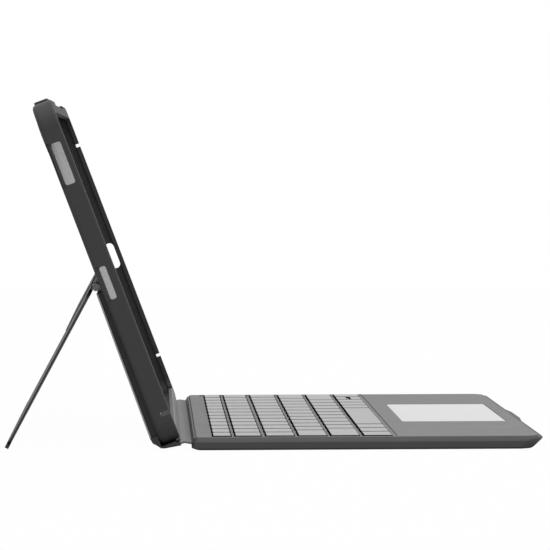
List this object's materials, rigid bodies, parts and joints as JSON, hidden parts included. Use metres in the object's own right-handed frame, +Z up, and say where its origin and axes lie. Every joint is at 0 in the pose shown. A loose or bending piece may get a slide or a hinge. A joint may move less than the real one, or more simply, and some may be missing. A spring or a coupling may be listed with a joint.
{
  "type": "tablet keyboard case",
  "caption": "Rubber bumper case for a tablet with a fold-out kickstand on its back and a slim trackpad keyboard joined to its foot by a fabric hinge.",
  "frame": {"origin": "centre of the keyboard's underside, on the desk", "axes": "+X to the user's right, -Y towards the user, +Z up; the case leans back 20.8 degrees in its typing position"},
  "size_m": [0.255, 0.2841, 0.1831],
  "materials": {
    "bumper_rubber": "soft touch, matte",
    "shell_plastic": "fine texture",
    "bay_lining_fabric": "microfibre",
    "skin_leather": "fine cross-hatched grain",
    "hinge_weave": "fine weave",
    "docking_strip_metal": "satin",
    "stand_board": "glass fibre board",
    "hinge_steel": "brushed",
    "magnet_nickel": "nickel plated",
    "tray_plastic": "soft touch",
    "deck_plastic": "fine texture",
    "keycap_plastic": "satin",
    "trackpad_surface": "smooth satin",
    "circuit_board": "solder resist",
    "dome_rubber": "translucent silicone",
    "membrane_film": "printed film",
    "battery_foil": "foil pouch",
    "switch_plastic": "moulded"
  },
  "bodies": {
    "keyboard": {"keyboard_tray": "tray_plastic", "keyboard_deck": "deck_plastic", "deck_screws": "hinge_steel", "support_plate": "hinge_steel", "membrane_sheet": "membrane_film", "rubber_domes": "dome_rubber", "battery_cell": "battery_foil", "controller_board": "circuit_board", "charging_socket": "hinge_steel", "flex_cable": "membrane_film", "closing_magnets": "magnet_nickel", "trackpad_bracket": "hinge_steel", "trackpad_switch": "switch_plastic"},
    "case": {"bumper_frame": "bumper_rubber", "back_shell": "shell_plastic", "bay_lining": "bay_lining_fabric", "upper_back_skin": "skin_leather", "camera_ring": "shell_plastic", "docking_strip": "docking_strip_metal", "docking_magnets": "magnet_nickel", "case_magnets": "magnet_nickel", "stand_base_panel": "shell_plastic", "stand_base_skin": "skin_leather", "base_latch_magnets": "magnet_nickel", "spine_skin": "skin_leather", "hinge_fixed_leaves": "hinge_steel", "hinge_leaf_screws": "hinge_steel", "hinge_pins": "hinge_steel", "hinge_fabric": "hinge_weave"},
    "kickstand": {"kickstand_plate": "stand_board", "kickstand_inner_skin": "skin_leather", "kickstand_outer_skin": "skin_leather", "kickstand_latch_magnets": "magnet_nickel", "hinge_moving_leaves": "hinge_steel", "hinge_cover": "skin_leather", "kickstand_hinge_skin": "skin_leather", "foot_strip": "bumper_rubber"},
    "trackpad": {"trackpad_glass": "trackpad_surface", "trackpad_board": "circuit_board"},
    "volume_up": {"volume_up_button": "bumper_rubber"},
    "volume_down": {"volume_down_button": "bumper_rubber"},
    "function_row": {"function_keys": "keycap_plastic"},
    "number_row": {"number_keys": "keycap_plastic"},
    "upper_row": {"upper_letter_keys": "keycap_plastic"},
    "home_row": {"home_row_keys": "keycap_plastic"},
    "lower_row": {"lower_letter_keys": "keycap_plastic"},
    "modifiers": {"modifier_keys": "keycap_plastic"},
    "space": {"space_bar": "keycap_plastic"},
    "arrows": {"arrow_keys": "keycap_plastic"}
  },
  "joints": [
    {"name": "case_fold", "type": "hinge", "parent": "keyboard", "child": "case", "pos_m": [0, 0.09187, 0.0035], "axis": [1, 0, 0], "range_deg": [-49, 110.8], "deforming": ["hinge_fabric"]},
    {"name": "kickstand_hinge", "type": "hinge", "parent": "case", "child": "kickstand", "pos_m": [0, 0.14105, 0.08398], "axis": [1, 0, 0], "range_deg": [-48.4, 62], "deforming": ["kickstand_hinge_skin"]},
    {"name": "trackpad_click", "type": "hinge", "parent": "keyboard", "child": "trackpad", "pos_m": [0.005, -0.0264, 0.006], "axis": [1, 0, 0], "range_deg": [0, 0.35], "stiffness_Nm_per_rad": 2},
    {"name": "function_row_press", "type": "slide", "parent": "keyboard", "child": "function_row", "axis": [0, 0, -1], "range_m": [0, 0.0009], "stiffness_N_per_m": 600, "deforming": ["rubber_domes"]},
    {"name": "number_row_press", "type": "slide", "parent": "keyboard", "child": "number_row", "axis": [0, 0, -1], "range_m": [0, 0.0009], "stiffness_N_per_m": 600, "deforming": ["rubber_domes"]},
    {"name": "upper_row_press", "type": "slide", "parent": "keyboard", "child": "upper_row", "axis": [0, 0, -1], "range_m": [0, 0.0009], "stiffness_N_per_m": 600, "deforming": ["rubber_domes"]},
    {"name": "home_row_press", "type": "slide", "parent": "keyboard", "child": "home_row", "axis": [0, 0, -1], "range_m": [0, 0.0009], "stiffness_N_per_m": 600, "deforming": ["rubber_domes"]},
    {"name": "lower_row_press", "type": "slide", "parent": "keyboard", "child": "lower_row", "axis": [0, 0, -1], "range_m": [0, 0.0009], "stiffness_N_per_m": 600, "deforming": ["rubber_domes"]},
    {"name": "modifiers_press", "type": "slide", "parent": "keyboard", "child": "modifiers", "axis": [0, 0, -1], "range_m": [0, 0.0009], "stiffness_N_per_m": 600, "deforming": ["rubber_domes"]},
    {"name": "space_press", "type": "slide", "parent": "keyboard", "child": "space", "axis": [0, 0, -1], "range_m": [0, 0.0009], "stiffness_N_per_m": 600, "deforming": ["rubber_domes"]},
    {"name": "arrows_press", "type": "slide", "parent": "keyboard", "child": "arrows", "axis": [0, 0, -1], "range_m": [0, 0.0009], "stiffness_N_per_m": 600, "deforming": ["rubber_domes"]},
    {"name": "volume_up_press", "type": "slide", "parent": "case", "child": "volume_up", "axis": [0, -0.3551, -0.9348], "range_m": [0, 0.0008], "stiffness_N_per_m": 800},
    {"name": "volume_down_press", "type": "slide", "parent": "case", "child": "volume_down", "axis": [0, -0.3551, -0.9348], "range_m": [0, 0.0008], "stiffness_N_per_m": 800}
  ]
}
